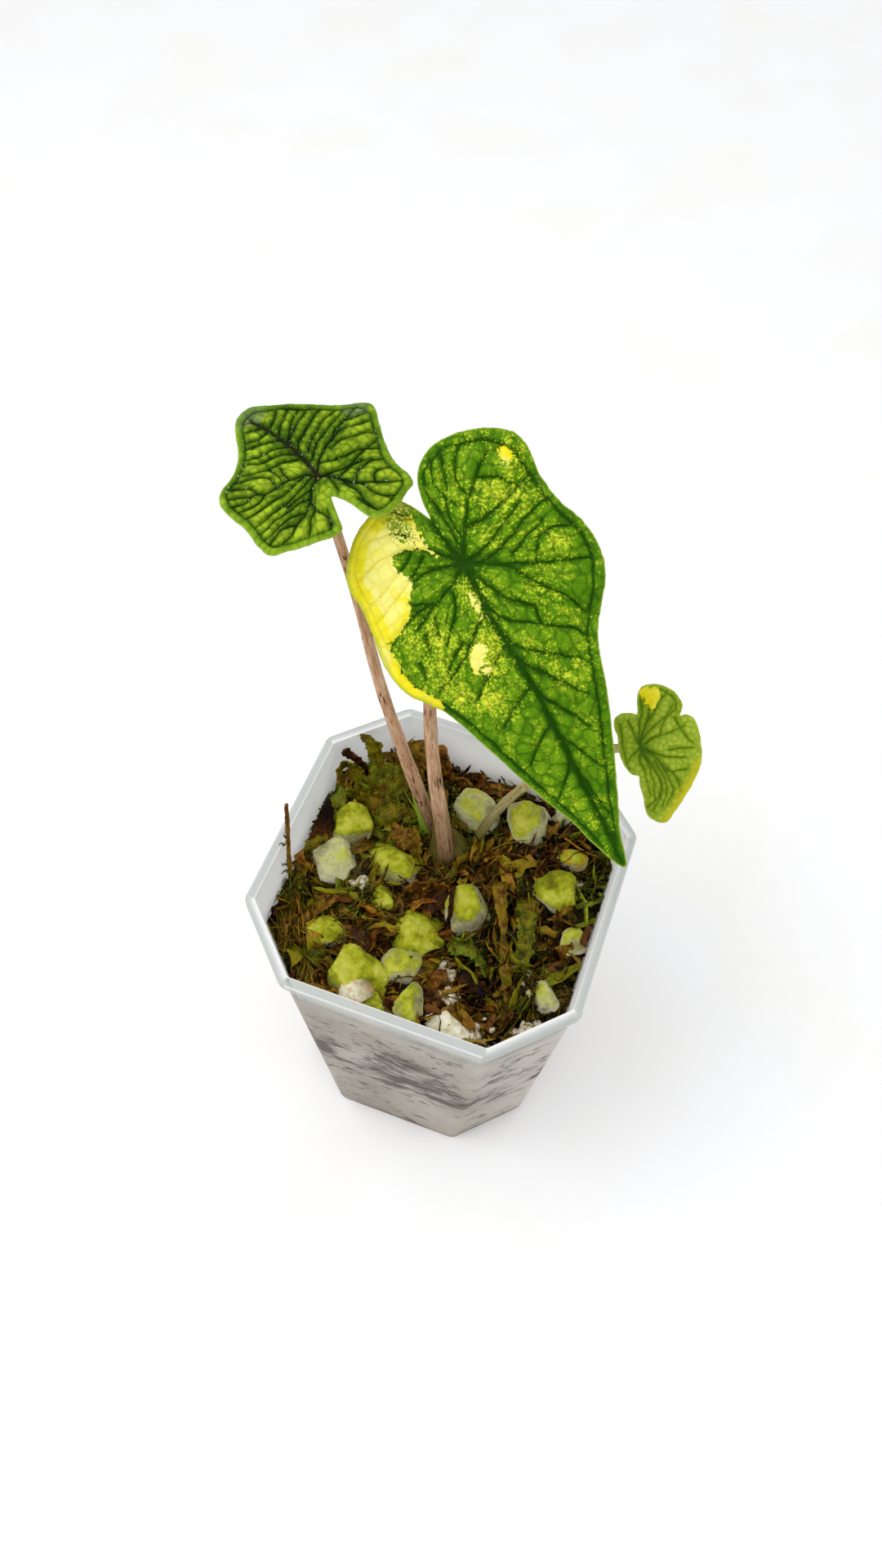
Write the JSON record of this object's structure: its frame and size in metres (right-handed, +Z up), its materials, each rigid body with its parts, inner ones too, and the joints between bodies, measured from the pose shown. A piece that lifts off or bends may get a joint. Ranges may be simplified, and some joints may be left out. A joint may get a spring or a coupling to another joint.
{
  "type": "potted variegated alocasia tandurusa",
  "caption": "Young aroid with lobed, quilted, yellow-splashed leaves on slim stalks, in moss and pumice in a frosted clear nursery pot with cut corners.",
  "frame": {"origin": "centre of the pot's flat foot, on the surface it stands on", "axes": "+Z up, X and Y along the pot's flats; the plant is seen from the front when looking along +Y"},
  "size_m": [0.1039, 0.0846, 0.1862],
  "materials": {
    "pot": "frosted clear polypropylene",
    "growing_mix": "damp moss, bark and pumice",
    "crown": "fibrous satin",
    "moss": "damp sphagnum",
    "wood": "rough",
    "petiole": "satin, finely ribbed",
    "leaf": "leathery satin"
  },
  "bodies": {
    "root": {"pot": "pot", "growing_mix": "growing_mix", "crown": "crown", "moss_sprig": "moss", "twig": "wood", "bark_shred": "wood", "stick": "wood", "petiole_left": "petiole", "petiole_centre": "petiole", "petiole_right": "petiole", "leaf_left": "leaf", "leaf_centre": "leaf", "leaf_right": "leaf"}
  },
  "joints": []
}
